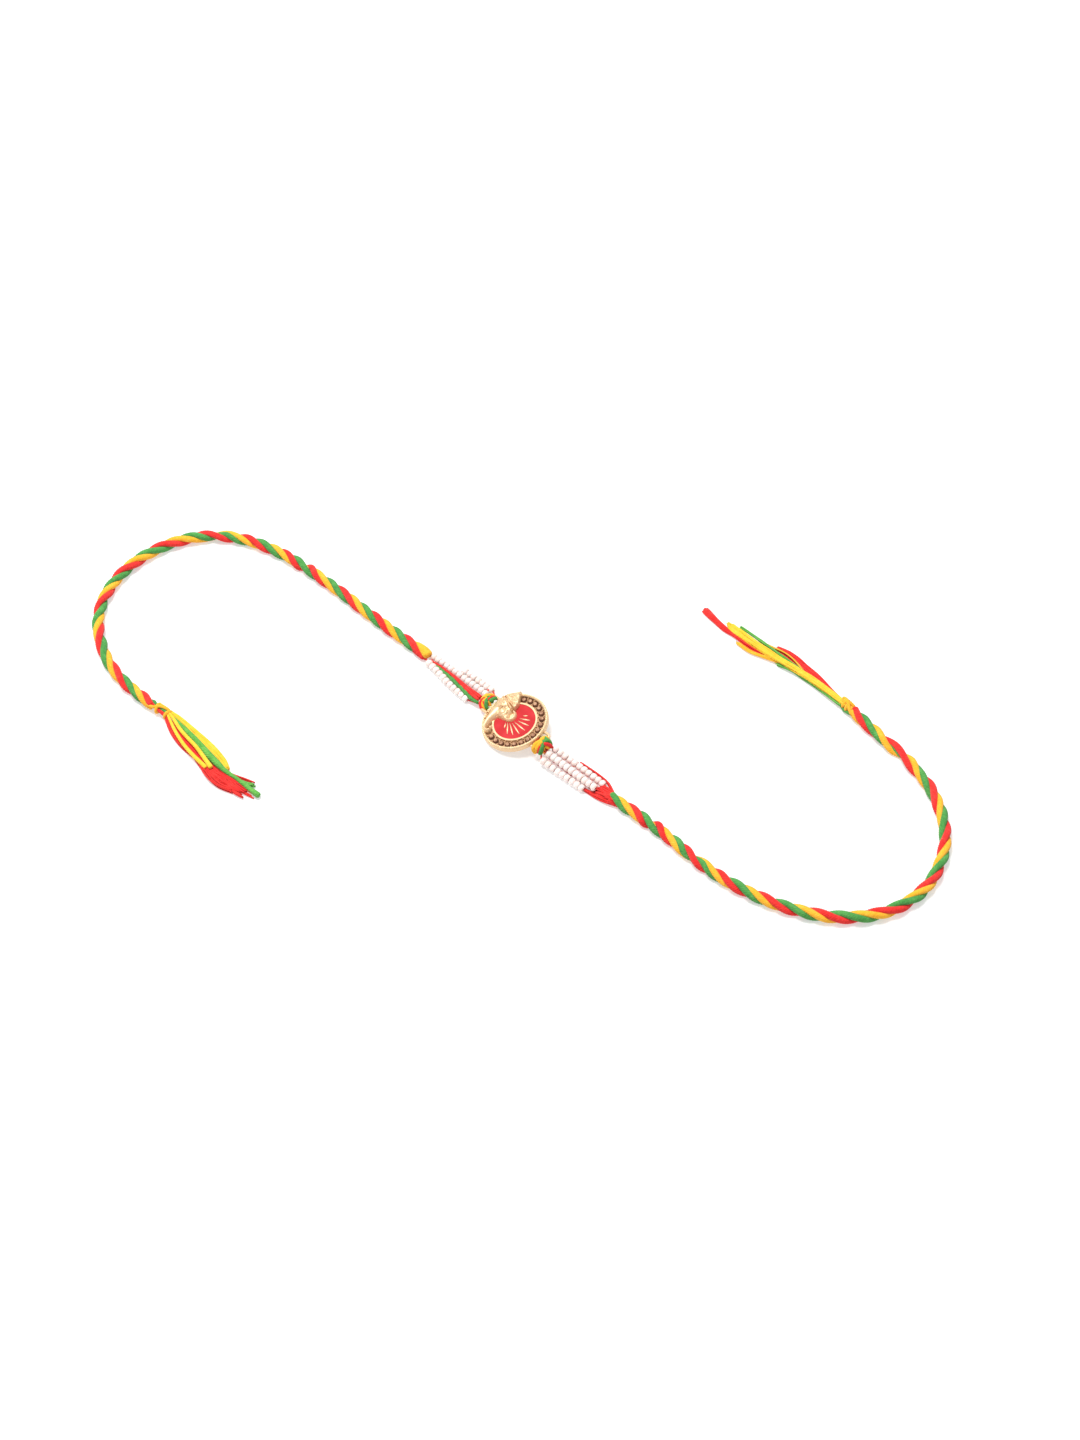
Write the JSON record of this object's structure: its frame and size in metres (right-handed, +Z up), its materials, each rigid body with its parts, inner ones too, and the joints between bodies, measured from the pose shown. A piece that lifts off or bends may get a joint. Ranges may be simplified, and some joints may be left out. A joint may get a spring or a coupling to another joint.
{
  "type": "rakhi thread bracelet",
  "caption": "Open thread bracelet: a round gilt medallion with red enamel and small stones, tied between beaded strings and twisted three-colour cord arms that end in loose tassels.",
  "frame": {"origin": "on the surface that the bracelet lies on, under the middle of the medallion and its beads", "axes": "+X along the band towards the right-hand arm, +Z up from the surface"},
  "size_m": [0.2313, 0.1396, 0.0063],
  "materials": {
    "gilt": "satin gilt",
    "red_enamel": "glossy enamel",
    "brown_stone": "faceted, foil-backed",
    "pearl_bead": "pearly",
    "red_yarn": "soft cotton yarn",
    "yellow_yarn": "soft cotton yarn",
    "knot_yarn": "soft cotton yarn in three colours",
    "cord_yarn": "soft cotton yarn in three colours"
  },
  "bodies": {
    "root": {"medallion": "gilt", "enamel_field": "red_enamel", "stone_01": "brown_stone", "stone_02": "brown_stone", "stone_03": "brown_stone", "stone_04": "brown_stone", "stone_05": "brown_stone", "stone_06": "brown_stone", "stone_07": "brown_stone", "stone_08": "brown_stone", "stone_09": "brown_stone", "stone_10": "brown_stone", "stone_11": "brown_stone", "stone_12": "brown_stone", "stone_13": "brown_stone", "stone_14": "brown_stone", "stone_15": "brown_stone", "stone_16": "brown_stone", "ring_knot_left": "knot_yarn", "ring_knot_right": "knot_yarn", "bead_string_left_1": "pearl_bead", "bead_string_left_2": "pearl_bead", "bead_string_left_3": "pearl_bead", "bead_string_right_1": "pearl_bead", "bead_string_right_2": "pearl_bead", "bead_string_right_3": "pearl_bead", "yarn_bundle_left": "red_yarn", "yarn_bundle_right": "red_yarn", "cord_left": "cord_yarn", "cord_right": "cord_yarn", "end_knot_left": "yellow_yarn", "end_knot_right": "yellow_yarn", "tassel_left": "cord_yarn", "tassel_right": "cord_yarn"}
  },
  "joints": []
}
